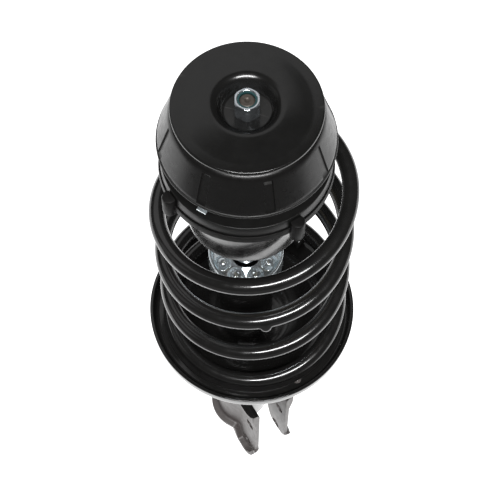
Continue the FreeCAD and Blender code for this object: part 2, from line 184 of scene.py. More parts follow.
def settle(item):
    """Applies an object's modifiers to its mesh."""
    graph = bpy.context.evaluated_depsgraph_get()
    mesh = bpy.data.meshes.new_from_object(item.evaluated_get(graph), depsgraph=graph)
    item.modifiers.clear()
    item.data = mesh


def combine(item, other, operation):
    """Cuts another object out of this one, or joins it on, and deletes the other."""
    boolean = item.modifiers.new("boolean", "BOOLEAN")
    boolean.operation = operation
    boolean.solver = "EXACT"
    boolean.object = other
    bpy.context.view_layer.update()
    settle(item)
    bpy.data.objects.remove(other)


def bevel(item, width, segments=3, angle=40.0):
    change = item.modifiers.new("bevel", "BEVEL")
    change.width = width * MM
    change.segments = segments
    change.limit_method = "ANGLE"
    change.angle_limit = math.radians(angle)


# Materials


def surface(name, colour, metallic=0.0, roughness=0.5, coat=0.0, coat_roughness=0.1, specular=0.5):
    """Bare shader of one finish, and its node tree."""
    material = bpy.data.materials.new(name)
    material.use_nodes = True
    shader = material.node_tree.nodes["Principled BSDF"]
    shader.inputs["Base Color"].default_value = (*colour, 1.0)
    shader.inputs["Metallic"].default_value = metallic
    shader.inputs["Roughness"].default_value = roughness
    shader.inputs["Coat Weight"].default_value = coat
    shader.inputs["Coat Roughness"].default_value = coat_roughness
    shader.inputs["Specular IOR Level"].default_value = specular
    return material, material.node_tree, shader


def grain(tree, size_mm, detail=4.0, stretch=(1, 1, 1)):
    """Noise over the object, with features of about this size."""
    place = tree.nodes.new("ShaderNodeTexCoord")
    scale = tree.nodes.new("ShaderNodeMapping")
    scale.inputs["Scale"].default_value = stretch
    pattern = tree.nodes.new("ShaderNodeTexNoise")
    pattern.inputs["Scale"].default_value = 1.0 / (size_mm * MM)
    pattern.inputs["Detail"].default_value = detail
    tree.links.new(place.outputs["Object"], scale.inputs["Vector"])
    tree.links.new(scale.outputs["Vector"], pattern.inputs["Vector"])
    return pattern.outputs["Fac"]


def spread(tree, value, low, high, near=0.3, far=0.7):
    """Maps a pattern onto a range."""
    node = tree.nodes.new("ShaderNodeMapRange")
    node.inputs["From Min"].default_value = near
    node.inputs["From Max"].default_value = far
    node.inputs["To Min"].default_value = low
    node.inputs["To Max"].default_value = high
    tree.links.new(value, node.inputs["Value"])
    return node.outputs["Result"]


def tint(tree, factor, first, second):
    """Colour between two, by a pattern."""
    node = tree.nodes.new("ShaderNodeMix")
    node.data_type = "RGBA"
    node.inputs["A"].default_value = (*first, 1.0)
    node.inputs["B"].default_value = (*second, 1.0)
    tree.links.new(factor, node.inputs["Factor"])
    return node.outputs["Result"]


def overlay(tree, factor, base, colour):
    """Lays a fixed colour over another by a pattern."""
    node = tree.nodes.new("ShaderNodeMix")
    node.data_type = "RGBA"
    node.inputs["B"].default_value = (*colour, 1.0)
    tree.links.new(factor, node.inputs["Factor"])
    tree.links.new(base, node.inputs["A"])
    return node.outputs["Result"]


def relief(tree, shader, height, depth_mm, strength=1.0, under=None):
    """Bump of a real depth; it may lie on another bump."""
    node = tree.nodes.new("ShaderNodeBump")
    node.inputs["Strength"].default_value = strength
    node.inputs["Distance"].default_value = depth_mm * MM
    tree.links.new(height, node.inputs["Height"])
    if under is not None:
        tree.links.new(under, node.inputs["Normal"])
    tree.links.new(node.outputs["Normal"], shader.inputs["Normal"])
    return node.outputs["Normal"]


def edge_wear(tree, base, worn, amount):
    """Mixes a worn colour onto outer corners, broken up by grain."""
    geometry = tree.nodes.new("ShaderNodeNewGeometry")
    corners = spread(tree, geometry.outputs["Pointiness"], 0.0, amount, 0.52, 0.62)
    broken = spread(tree, grain(tree, 4.0), 0.2, 1.0)
    product = tree.nodes.new("ShaderNodeMath")
    product.operation = "MULTIPLY"
    tree.links.new(corners, product.inputs[0])
    tree.links.new(broken, product.inputs[1])
    return overlay(tree, product.outputs[0], base, worn)


def gloss_black(name, roughness, peel_mm, depth_mm):
    """Stoved gloss paint on pressed steel: faint orange peel, thin bright corners."""
    material, tree, shader = surface(name, (0.01, 0.01, 0.01), 0.0, roughness, 0.35, 0.06)
    colour = tint(tree, grain(tree, 14.0), (0.007, 0.007, 0.007), (0.014, 0.0135, 0.013))
    tree.links.new(edge_wear(tree, colour, (0.05, 0.048, 0.046), 0.35), shader.inputs["Base Color"])
    rough = spread(tree, grain(tree, 9.0), roughness * 0.75, roughness * 1.5)
    tree.links.new(rough, shader.inputs["Roughness"])
    peel = relief(tree, shader, grain(tree, peel_mm, 2.0), depth_mm)
    relief(tree, shader, grain(tree, 0.5, 1.0), 0.002, 0.6, peel)
    return material


def satin_black(name, roughness, specular=0.5):
    """Electro-coated steel: satin, with fine grain and faint rubbed patches."""
    material, tree, shader = surface(name, (0.006, 0.006, 0.006), 0.0, roughness, specular=specular)
    colour = tint(tree, grain(tree, 18.0), (0.005, 0.005, 0.0048), (0.0085, 0.0083, 0.008))
    tree.links.new(edge_wear(tree, colour, (0.06, 0.057, 0.055), 0.5), shader.inputs["Base Color"])
    rough = spread(tree, grain(tree, 7.0), roughness * 0.85, roughness * 1.15)
    tree.links.new(rough, shader.inputs["Roughness"])
    coarse = relief(tree, shader, grain(tree, 3.0, 3.0), 0.008)
    relief(tree, shader, grain(tree, 0.45, 2.0), 0.002, 0.8, coarse)
    return material


DUST = (0.06, 0.057, 0.055)


def moulded_rubber(name, dark, light, roughness=0.42, specular=0.16):
    """Moulded rubber: matte, softly blotched, with a fine tool texture and pale dust."""
    material, tree, shader = surface(name, dark, 0.0, roughness, specular=specular)
    colour = tint(tree, grain(tree, 11.0), dark, light)
    dust = spread(tree, grain(tree, 0.9, 3.0), 0.0, 0.22, 0.66, 0.8)
    tree.links.new(overlay(tree, dust, colour, DUST), shader.inputs["Base Color"])
    rough = spread(tree, grain(tree, 5.0), roughness * 0.85, roughness * 1.2)
    tree.links.new(rough, shader.inputs["Roughness"])
    coarse = relief(tree, shader, grain(tree, 4.0, 2.0), 0.02)
    relief(tree, shader, grain(tree, 0.6, 3.0), 0.012, 0.8, coarse)
    return material


def zinc_plate(name, metallic, dark, light, roughness):
    """Zinc plating: bluish, with a soft cloudy grain."""
    material, tree, shader = surface(name, light, metallic, roughness)
    colour = tint(tree, grain(tree, 4.0, 5.0), dark, light)
    tree.links.new(colour, shader.inputs["Base Color"])
    rough = spread(tree, grain(tree, 2.5, 5.0), roughness * 0.8, roughness * 1.25)
    tree.links.new(rough, shader.inputs["Roughness"])
    soft = relief(tree, shader, grain(tree, 3.0, 2.0), 0.004)
    relief(tree, shader, grain(tree, 0.5, 2.0), 0.002, 0.8, soft)
    return material


def bright_steel(name, colour, roughness, streak=1.0):
    """Turned or ground steel with fine marks round its axis."""
    material, tree, shader = surface(name, colour, 1.0, roughness)
    dark = tuple(c * 0.8 for c in colour)
    tree.links.new(tint(tree, grain(tree, 3.0), dark, colour), shader.inputs["Base Color"])
    marks = grain(tree, 2.0, 3.0, (1, 1, 12))
    tree.links.new(spread(tree, marks, roughness * 0.7, roughness * 1.5), shader.inputs["Roughness"])
    relief(tree, shader, marks, 0.004 * streak)
    return material


def cut_steel():
    """Sheared end of the rod: dull, warm grey, with turning rings."""
    material, tree, shader = surface("cut_steel", (0.06, 0.05, 0.042), 0.4, 0.5)
    colour = tint(tree, grain(tree, 1.6, 5.0), (0.03, 0.025, 0.021), (0.1, 0.083, 0.07))
    tree.links.new(colour, shader.inputs["Base Color"])
    tree.links.new(spread(tree, grain(tree, 0.8), 0.4, 0.65), shader.inputs["Roughness"])
    relief(tree, shader, grain(tree, 0.7, 4.0), 0.05)
    return material


def plain(name, colour, roughness, grain_mm, depth_mm, metallic=0.0):
    """Plastic, foam or sintered metal: mottled colour and an even fine relief."""
    material, tree, shader = surface(name, colour, metallic, roughness)
    dark = tuple(c * 0.7 for c in colour)
    tree.links.new(tint(tree, grain(tree, grain_mm * 3.0), dark, colour), shader.inputs["Base Color"])
    rough = spread(tree, grain(tree, grain_mm), roughness * 0.85, roughness * 1.15)
    tree.links.new(rough, shader.inputs["Roughness"])
    relief(tree, shader, grain(tree, grain_mm, 3.0), depth_mm)
    return material


def lightened_bracket_paint():
    """Dull paint on the knuckle bracket, chalky where it was handled; its black is lifted to a warm grey,
    painted light standing in for glare off the bright ground.
    """
    material, tree, shader = surface("lightened_bracket_paint", (0.08, 0.07, 0.068), 0.0, 0.42, specular=0.9)
    colour = tint(tree, grain(tree, 12.0), (0.066, 0.058, 0.056), (0.1, 0.088, 0.085))
    tree.links.new(edge_wear(tree, colour, (0.12, 0.11, 0.105), 0.5), shader.inputs["Base Color"])
    tree.links.new(spread(tree, grain(tree, 6.0), 0.38, 0.52), shader.inputs["Roughness"])
    relief(tree, shader, grain(tree, 1.2, 3.0), 0.012)
    return material


FLOOR_GLOW = 1.7
FLOOR_FADE = math.radians(56.0)
FLOOR_LIT_FROM = -290.0
FLOOR_DARK_FROM = -400.0
FLOOR_DARK_SHARE = 0.12


def floor_white():
    """Lit white ground; it falls away to dark well in front of the strut."""
    material = bpy.data.materials.new("floor_white")
    material.use_nodes = True
    tree = material.node_tree
    tree.nodes.clear()
    glow = tree.nodes.new("ShaderNodeEmission")
    place = tree.nodes.new("ShaderNodeNewGeometry")
    away = tree.nodes.new("ShaderNodeVectorMath")
    away.operation = "DOT_PRODUCT"
    away.inputs[1].default_value = (math.cos(FLOOR_FADE), math.sin(FLOOR_FADE), 0.0)
    tree.links.new(place.outputs["Position"], away.inputs[0])
    fade = tree.nodes.new("ShaderNodeMapRange")
    fade.inputs["From Min"].default_value = FLOOR_DARK_FROM * MM
    fade.inputs["From Max"].default_value = FLOOR_LIT_FROM * MM
    fade.inputs["To Min"].default_value = FLOOR_GLOW * FLOOR_DARK_SHARE
    fade.inputs["To Max"].default_value = FLOOR_GLOW
    tree.links.new(away.outputs["Value"], fade.inputs["Value"])
    tree.links.new(fade.outputs["Result"], glow.inputs["Strength"])
    out = tree.nodes.new("ShaderNodeOutputMaterial")
    tree.links.new(glow.outputs["Emission"], out.inputs["Surface"])
    return material


PAINT = gloss_black("gloss_black_paint", 0.12, 2.2, 0.003)
SPRING_COAT = gloss_black("spring_coating", 0.18, 3.5, 0.008)
SATIN = satin_black("satin_black", 0.22)
DULL_BLACK = satin_black("dull_black", 0.5)
SEAT_BLACK = satin_black("seat_black", 0.34, 0.25)
# Black bracket paint lifted to warm grey: painted light for the glare and haze off the bright ground.
LIGHTENED_BRACKET_PAINT = lightened_bracket_paint()
RUBBER = moulded_rubber("mount_rubber_compound", (0.005, 0.0048, 0.0047), (0.0075, 0.0072, 0.007), 0.3, 0.26)
SOFT_RUBBER = moulded_rubber("isolator_rubber_compound", (0.005, 0.0048, 0.0047), (0.008, 0.0077, 0.0075))
# Near-white base: partly the plating's own brightness, partly painted light for the striker cap, which sits
# in shade under the bell and coil.
BRIGHTENED_ZINC = zinc_plate("zinc_plate", 0.85, (0.82, 0.9, 0.94), (0.9, 0.96, 0.99), 0.15)
NUT_ZINC = zinc_plate("nut_zinc", 0.95, (0.6, 0.64, 0.68), (0.72, 0.76, 0.8), 0.2)
CHROME = bright_steel("hard_chrome", (0.86, 0.87, 0.88), 0.07)
STEEL = bright_steel("plain_steel", (0.5, 0.5, 0.5), 0.32, 3.0)
RACE_STEEL = bright_steel("bearing_steel", (0.66, 0.67, 0.69), 0.15)
CUT_STEEL = cut_steel()
# Dark teal: partly the insert's own colour, partly painted shade for its place deep inside the nut.
DARKENED_NYLON = plain("nylon", (0.012, 0.05, 0.052), 0.3, 0.6, 0.02)
FOAM = plain("foam", (0.42, 0.37, 0.26), 0.85, 0.7, 0.12)
SINTERED = plain("sintered", (0.32, 0.32, 0.31), 0.5, 0.4, 0.05, 0.9)
LINER = plain("bearing_liner", (0.2, 0.16, 0.09), 0.5, 0.5, 0.02)

SLOT_MATERIALS = {
    "zinc": BRIGHTENED_ZINC,
    "nylon": DARKENED_NYLON,
    "satin_black_steel": SATIN,
    "plain_steel": STEEL,
    "bearing_steel": RACE_STEEL,
    "mount_rubber": RUBBER,
    "isolator_rubber": SOFT_RUBBER,
    "gloss_black_paint": PAINT,
    "spring_coating": SPRING_COAT,
    "foam": FOAM,
    "chrome_rod": CHROME,
    "sintered": SINTERED,
    "bearing_liner": LINER,
}


def dress(item, material):
    item.data.materials.clear()
    item.data.materials.append(material)


def stand_for(item, node, material):
    """The piece takes the CAD node's place and body, and wears the finish it is given."""
    dress(item, material)
    body = next(b for b, names in frame["record"]["behaviour"]["bodies"].items() if node in names)
    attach(item, body)
    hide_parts(node)


def paint_cad_nodes():
    for part in frame["record"]["subparts"]:
        dress(frame["nodes"][part["node"]], SLOT_MATERIALS[part["material_slot"]])


# Top mount


WASHER_FLOOR = -4.0
WASHER_SHEET = 3.4
WASHER_HOLE_R = 6.3
LIP_DROP = 0.6


def washer():
    """Dished washer: a flat outer band, a gentle rise to a rolled lip and a deep bowl."""
    lip = WASHER_TOP - LIP_DROP
    item = lathe(
        "washer_dish",
        [
            (WASHER_HOLE_R, WASHER_FLOOR, 0.3),
            (18.4, WASHER_FLOOR, 2.2),
            (22.2, lip - 2.2, 2.4),
            (26.6, lip + 0.3, 4.4),
            (37.0, lip - 1.0, 9.0),
            (48.2, lip - 3.0, 1.6),
            (55.6, lip - 3.5, 0.7),
            (WASHER_R, lip - 4.6, 0.5),
            (WASHER_R, 0.0, 0.4),
            (48.8, 0.0, 1.2),
            (46.4, 1.2, 1.2),
            (27.6, lip - 3.2, 2.5),
            (25.6, lip - 4.0, 1.2),
            (22.0, -7.2, 2.0),
            (WASHER_HOLE_R, WASHER_FLOOR - WASHER_SHEET, 0.2),
        ],
        sharp=50.0,
    )
    stand_for(item, "rebound_washer", SATIN)


THREAD_R = 5.9
NUT_FLATS_R = 9.0
NUT_TURN = math.radians(-120.5)
COLLAR_R = 10.0


def lock_nut():
    """Hexagon nut with a smooth collar rolled in over its nylon ring."""
    low = bottom("rod_nut")
    high = top("rod_nut")
    corner_r = NUT_FLATS_R / math.cos(math.pi / 6.0)
    item = lathe(
        "hex_lock_nut",
        [
            (THREAD_R, low, 0),
            (9.4, low, 0.3),
            (corner_r, low + 1.2, 0.4),
            (corner_r, high - 6.4, 0.6),
            (COLLAR_R - 0.4, high - 4.6, 0.2),
            (COLLAR_R, high - 3.9, 0.3),
            (COLLAR_R, high, 1.3),
            (7.4, high, 1.0),
            (7.1, high - 1.4, 0.2),
            (7.1, high - 3.2, 0),
            (THREAD_R, high - 3.2, 0),
        ],
        steps=192,
        sharp=50.0,
    )
    corners = []
    for z in (low - 1.0, high + 1.0):
        for i in range(6):
            angle = NUT_TURN + math.tau * i / 6
            corners.append((corner_r * math.cos(angle), corner_r * math.sin(angle), z))
    sides = [(i, (i + 1) % 6, (i + 1) % 6 + 6, i + 6) for i in range(6)]
    prism = object_from("prism", corners, [tuple(range(5, -1, -1)), tuple(range(6, 12))] + sides)
    combine(item, prism, "INTERSECT")
    bevel(item, 0.15, 2, 50.0)
    settle(item)
    shade_smooth(item.data, 30.0)
    stand_for(item, "rod_nut", NUT_ZINC)


ROD_STEP_LOW = -319.0
ROD_STEP_HIGH = -30.1
ROD_END = 2.4


def rod():
    """Chromed rod, stepped for its threads; its upper end is a bare sheared face."""
    r = radius("piston_rod")
    tip = top("piston_rod")
    low = bottom("piston_rod")
    shaft = lathe(
        "rod_shaft",
        [
            (0, low, 0),
            (THREAD_R, low, 0.6),
            (THREAD_R, ROD_STEP_LOW, 0.2),
            (r, ROD_STEP_LOW, 0.6),
            (r, ROD_STEP_HIGH - 1.0, 0.8),
            (r - 1.0, ROD_STEP_HIGH, 0.2),
            (THREAD_R, ROD_STEP_HIGH, 0.2),
            (THREAD_R, tip - ROD_END, 0),
            (0, tip - ROD_END, 0),
        ],
        steps=96,
    )
    stand_for(shaft, "piston_rod", CHROME)
    end = lathe(
        "rod_end",
        [
            (0, tip - ROD_END + 0.05, 0),
            (THREAD_R, tip - ROD_END + 0.05, 0),
            (THREAD_R, tip - 0.9, 0.4),
            (THREAD_R - 1.1, tip - 0.1, 0.5),
            (2.2, tip, 0.4),
            (1.2, tip - 0.7, 0.4),
            (0, tip - 0.9, 0),
        ],
        steps=96,
        sharp=60.0,
    )
    stand_for(end, "piston_rod", CUT_STEEL)


SHOULDER_R = 56.4
GROOVE_COUNT = 8
GROOVE_FIRST = math.radians(-150.5)
GROOVE_WIDTH = 6.6
GROOVE_DEPTH = 1.2
GROOVE_EDGE = 0.5
GROOVE_RUN_STEPS = 15
NOTCH_GROOVE = 1
NOTCH_HEIGHT = 9.5
NOTCH_DEPTH = 1.8


def groove_share(angle):
    """How deep in a groove this direction is, from 0 to 1, and which groove is nearest."""
    step = math.tau / GROOVE_COUNT
    index = round((angle - GROOVE_FIRST) / step)
    away = abs(angle - GROOVE_FIRST - index * step) * CONE_R
    depth = min(1.0, max(0.0, (GROOVE_WIDTH / 2.0 + GROOVE_EDGE - away) / GROOVE_EDGE))
    return depth, index % GROOVE_COUNT


def cone_angles():
    """Directions round the cone, close together at the sides of each groove."""
    step = math.tau / GROOVE_COUNT
    half = GROOVE_WIDTH / 2.0 / CONE_R
    ramp = GROOVE_EDGE / CONE_R
    angles = []
    for i in range(GROOVE_COUNT):
        centre = GROOVE_FIRST + i * step
        angles += [centre + half * t for t in (-1.0, -0.5, 0.0, 0.5, 1.0)]
        clear = half + ramp * 1.4
        angles.append(centre + clear)
        run = step - 2.0 * clear
        angles += [centre + clear + run * t / (GROOVE_RUN_STEPS - 1.0) for t in range(1, GROOVE_RUN_STEPS)]
    return angles


def rubber_cone():
    """Conical rubber mount with shallow slots down its side, one of them notched."""
    rows = 18
    under = CONE_TOP - 1.0
    side = []
    high = CONE_TOP - 0.2
    foot = CONE_BOTTOM + 1.6
    for i in range(rows + 1):
        t = i / rows
        side.append((SHOULDER_R + (CONE_R - SHOULDER_R) * t, high + (foot - high) * t, 1.0))
    shoulder = rounded([(30.0, under, 0), (SHOULDER_R, high, 6.0), (CONE_R, foot, 0)])
    outline = [(12.0, -8.0, 0.0), (24.0, -8.0, 0.0), (28.0, under, 0.0)]
    outline += [(r, z, 0.0) for r, z in shoulder[:-1]]
    outline += [p for p in side if p[1] < shoulder[-2][1] - 0.5]
    outline += [(CONE_R, CONE_BOTTOM, 0.0), (41.0, CONE_BOTTOM, 0.0), (38.5, -34.0, 0.0)]
    outline += [(33.0, -30.2, 0.0), (12.0, -30.2, 0.0)]
    verts = []
    angles = cone_angles()
    for angle in angles:
        for r, z, cut in outline:
            share, index = groove_share(angle)
            inward = GROOVE_DEPTH * share * cut
            if index == NOTCH_GROOVE and z > CONE_TOP - NOTCH_HEIGHT and share > 0.9:
                inward += NOTCH_DEPTH * cut
            verts.append(((r - inward) * math.cos(angle), (r - inward) * math.sin(angle), z))
    item = object_from("rubber_cone", verts, skin(len(angles), len(outline), True), 28.0)
    stand_for(item, "mount_rubber", RUBBER)


def base_plate():
    """Pressed plate under the rubber: a rolled lip, and a wall round the bearing."""
    high = top("mount_base_plate")
    low = bottom("mount_base_plate")
    lip_r = CONE_R + 1.4
    item = lathe(
        "bearing_housing",
        [
            (24.0, high, 0.3),
            (lip_r - 0.6, high - 0.2, 1.3),
            (lip_r, high - 2.2, 1.3),
            (lip_r - 1.2, high - 3.8, 1.0),
            (60.4, high - 3.9, 1.6),
            (58.5, high - 6.0, 1.5),
            (58.5, low, 0.5),
            (56.6, low, 0.5),
            (56.6, high - 3.5, 0.3),
            (24.0, high - 3.5, 0.3),
        ],
    )
    stand_for(item, "mount_base_plate", DULL_BLACK)


# Upper spring seat and what hangs from it


SEAT_STEP = 3.0
SEAT_SHEET = 3.0


def spring_seat():
    """Flat shell over the spring that steps down to its outer wall."""
    low = bottom("upper_spring_seat")
    edge = SEAT_TOP - SEAT_STEP
    item = lathe(
        "upper_seat_shell",
        [
            (17.0, SEAT_TOP, 0.4),
            (55.2, SEAT_TOP, 0.3),
            (57.0, edge, 0.3),
            (66.1, edge, 0.8),
            (66.6, edge - 4.0, 1.0),
            (67.3, low, 0.5),
            (65.0, low, 0.5),
            (63.6, edge - 4.6, 1.6),
            (62.0, edge - SEAT_SHEET, 1.0),
            (55.4, edge - SEAT_SHEET, 1.2),
            (53.6, SEAT_TOP - SEAT_SHEET, 1.2),
            (17.0, SEAT_TOP - SEAT_SHEET, 0.4),
        ],
    )
    stand_for(item, "upper_spring_seat", SEAT_BLACK)


LUG_ANGLES = (2.0, 92.0, 182.0, 273.0)
LUG_R = 5.9
LUG_TOP = -66.0
LUG_FOOT = -86.0
LUG_RING_R = 69.3


def lug(angle):
    """Half-round lug with a domed foot, standing on the isolator's outside."""
    outline = [(0.0, LUG_TOP), (LUG_R - 1.8, LUG_TOP), (LUG_R - 0.5, LUG_TOP - 0.5), (LUG_R, LUG_TOP - 1.9)]
    for i in range(9):
        turn = math.radians(90.0 * i / 8)
        outline.append((LUG_R * math.cos(turn), LUG_FOOT - LUG_R * math.sin(turn)))
    turn = math.radians(angle)
    centre = (LUG_RING_R * math.cos(turn), LUG_RING_R * math.sin(turn))
    return lathe("lug", [(r, z, 0) for r, z in outline], centre, 40, 60.0)


RING_INNER_R = 51.8
WALL_FOOT = -79.3
WALL_FOOT_R = 67.62


def isolator():
    """Rubber ring under the seat's edge; it wraps the wall and carries four lugs."""
    item = lathe(
        "upper_isolator_ring",
        [
            (RING_INNER_R, WALL_FOOT, 0.6),
            (67.6, WALL_FOOT, 0.2),
            (67.0, -74.2, 0.3),
            (68.1, -74.0, 0.6),
            (68.8, -81.4, 2.0),
            (65.4, RING_BOTTOM, 2.6),
            (RING_INNER_R, RING_BOTTOM, 0.8),
        ],
    )
    for angle in LUG_ANGLES:
        combine(item, lug(angle), "UNION")
    wall = [(0, -100, 0), (WALL_FOOT_R, -100, 0), (WALL_FOOT_R, WALL_FOOT, 0), (66.75, -60, 0), (0, -60, 0)]
    spared = [(r, z, 0) for r, z in (
        (RING_INNER_R, RING_BOTTOM),
        (WALL_FOOT_R, RING_BOTTOM),
        (WALL_FOOT_R, WALL_FOOT),
        (RING_INNER_R, WALL_FOOT),
    )]
    keep_out = lathe("keep_out", wall)
    combine(keep_out, lathe("keep_in", spared), "DIFFERENCE")
    combine(item, keep_out, "DIFFERENCE")
    shade_smooth(item.data, 40.0)
    stand_for(item, "upper_spring_isolator", SOFT_RUBBER)


BELL_MOUTH_R = 43.4
BELL_SHEET = 2.0
BELL_NECK_R = 14.0


def bell():
    """Deep drawn cup with a large round edge at its mouth."""
    high = top("bump_stop_bell")
    item = lathe(
        "bell_cup",
        [
            (BELL_NECK_R, high, 0.4),
            (BELL_R, high, 3.4),
            (BELL_R - 1.0, BELL_BOTTOM, 9.5),
            (BELL_MOUTH_R, BELL_BOTTOM, 0.7),
            (BELL_MOUTH_R, BELL_BOTTOM + BELL_SHEET, 0.7),
            (BELL_R - 1.0 - BELL_SHEET, BELL_BOTTOM + BELL_SHEET, 7.5),
            (BELL_R - BELL_SHEET, high - BELL_SHEET, 2.4),
            (BELL_NECK_R, high - BELL_SHEET, 0.4),
        ],
    )
    stand_for(item, "bump_stop_bell", PAINT)


STOP_R = 25.4
STOP_HOLE_R = 12.6
STOP_HEAD = -91.0


def bump_stop():
    """Foam stop with two soft necks, which squash as the damper closes; it is built at full length."""
    high = top("bump_stop")
    low = bottom("bump_stop")
    outer = [(STOP_R, high), (STOP_R, STOP_HEAD)]
    first = STOP_HEAD - 2.0
    steps = 60
    for i in range(steps + 1):
        t = i / steps
        z = first + (low + 9.0 - first) * t
        swell = abs(math.sin(math.pi * (0.12 + 2.86 * t)))
        outer.append((24.6 - 3.6 * t - 4.6 * (1.0 - swell ** 0.7), z))
    outer += [(15.6, low + 1.5), (14.2, low)]
    corners = [(STOP_HOLE_R, high, 0)] + [(r, z, 0) for r, z in outer] + [(STOP_HOLE_R, low, 0)]
    item = lathe("bump_stop_foam", corners, steps=96, sharp=60.0)
    stand_for(item, "bump_stop", FOAM)
    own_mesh(item)


# Coil spring


PIGTAIL_R = 64.0
PIGTAIL_Z = -92.0
FIRST_DROP = 56.0
COIL_PITCH = 70.0
START_ANGLE = 149.5
COIL_TURNS = 4.35
TOP_CENTRE = (3.7, -2.2)
BOTTOM_CENTRE = (7.5, -4.4)
LEAD_IN_TURNS = 0.5
SEAT_SOFTNESS = 2.0
COIL_STEPS = 1440
WIRE_POINTS = 28
DRIP_TURN = 1.731
DRIP_LEAN = math.radians(212.0)
DRIP_HALF_WIDTH = 4.2
DRIP_DEPTH = 3.2


def coil_point(k):
    """Centre of the wire, k turns from its upper end; the coil runs clockwise going down."""
    blend = min(1.0, k / LEAD_IN_TURNS)
    blend = blend * blend * (3.0 - 2.0 * blend)
    r = PIGTAIL_R + (COIL_R - PIGTAIL_R) * blend
    open_z = PIGTAIL_Z - FIRST_DROP * min(k, LEAD_IN_TURNS) - COIL_PITCH * max(0.0, k - LEAD_IN_TURNS)
    seat_z = PAD_TOP + WIRE_R + 0.05
    z = seat_z + SEAT_SOFTNESS * math.log1p(math.exp((open_z - seat_z) / SEAT_SOFTNESS))
    share = (PIGTAIL_Z - z) / (PIGTAIL_Z - seat_z)
    angle = math.radians(START_ANGLE - 360.0 * k)
    x = TOP_CENTRE[0] + (BOTTOM_CENTRE[0] - TOP_CENTRE[0]) * share + r * math.cos(angle)
    y = TOP_CENTRE[1] + (BOTTOM_CENTRE[1] - TOP_CENTRE[1]) * share + r * math.sin(angle)
    return Vector((x, y, z))


def coil_spring():
    """Round wire along the coil, with its ends drawn in and one set drip of the coating."""
    nearby = 0.002
    stations = [COIL_TURNS * i / COIL_STEPS for i in range(COIL_STEPS + 1)]
    verts = []
    for k in stations:
        here = coil_point(k)
        ahead = (coil_point(k + nearby) - coil_point(k - nearby)).normalized()
        side = ahead.cross(Vector((0, 0, 1))).normalized()
        up = side.cross(ahead)
        shrink = 0.86 if k in (stations[0], stations[-1]) else 1.0
        away = abs(k - DRIP_TURN) * math.tau * COIL_R / DRIP_HALF_WIDTH
        bead = DRIP_DEPTH * math.sqrt(1.0 - away * away) if away < 1.0 else 0.0
        for j in range(WIRE_POINTS):
            turn = math.tau * j / WIRE_POINTS
            reach = WIRE_R * shrink + bead * max(0.0, math.cos(turn - DRIP_LEAN)) ** 6
            verts.append(here + (side * math.cos(turn) + up * math.sin(turn)) * reach)
    item = object_from("spring_coils", verts, skin(len(stations), WIRE_POINTS, False), 40.0)
    stand_for(item, "coil_spring", SPRING_COAT)
    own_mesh(item)


# Strut body


TUBE_BORE_R = 23.3
SEAL_R = 20.0


def tube():
    """Open tube, its top edge rolled in over the seal."""
    low = bottom("strut_tube")
    item = lathe(
        "tube_shell",
        [
            (TUBE_BORE_R, low, 0.2),
            (TUBE_R, low, 0.3),
            (TUBE_R, TUBE_TOP, 2.6),
            (SEAL_R, TUBE_TOP, 0.6),
            (SEAL_R, TUBE_TOP - 2.2, 0.6),
            (TUBE_BORE_R, TUBE_TOP - 2.2, 1.0),
        ],
    )
    stand_for(item, "strut_tube", PAINT)


def tube_base():
    """Pressed cup that closes the tube's lower end."""
    low = bottom("tube_base")
    edge = bottom("strut_tube") - 0.1
    outline = rounded(
        [
            (0.0, low, 0),
            (TUBE_R - 1.0, low, 7.0),
            (TUBE_R, edge, 0.4),
            (TUBE_R - 2.3, edge, 0.2),
            (TUBE_R - 2.3, edge + 6.0, 0.3),
            (TUBE_R - 4.8, edge + 6.0, 0.3),
            (TUBE_R - 5.0, low + 3.0, 4.0),
            (0.0, low + 3.0, 0),
        ]
    )
    outline = [(max(r, 0.0), z, 0) for r, z in outline]
    item = lathe("tube_base_cup", outline, steps=96)
    stand_for(item, "tube_base", PAINT)


DOME_COUNT = 8
DOME_RING_R = 22.4
DOME_R = 7.4
DOME_HEIGHT = 5.2
DOME_FIRST = math.radians(-98.0)
CAP_FLOOR = -242.5
CAP_HOLE_R = 13.0
CAP_HOLE_FADE = 1.5
CAP_WALL_R = 29.4
CAP_SKIRT_LOW = -256.0
CAP_SHEET = 1.3
CAP_STEPS = 240


def cap_height(x, y):
    """Height of the cap's floor: flat, with a ring of rounded bumps pressed up from below."""
    z = CAP_FLOOR
    for i in range(DOME_COUNT):
        angle = DOME_FIRST + math.tau * i / DOME_COUNT
        away = math.hypot(x - DOME_RING_R * math.cos(angle), y - DOME_RING_R * math.sin(angle))
        t = max(0.0, 1.0 - (away / DOME_R) ** 2)
        z += DOME_HEIGHT * (3.0 * t * t - 2.0 * t * t * t) ** 0.75
    return z


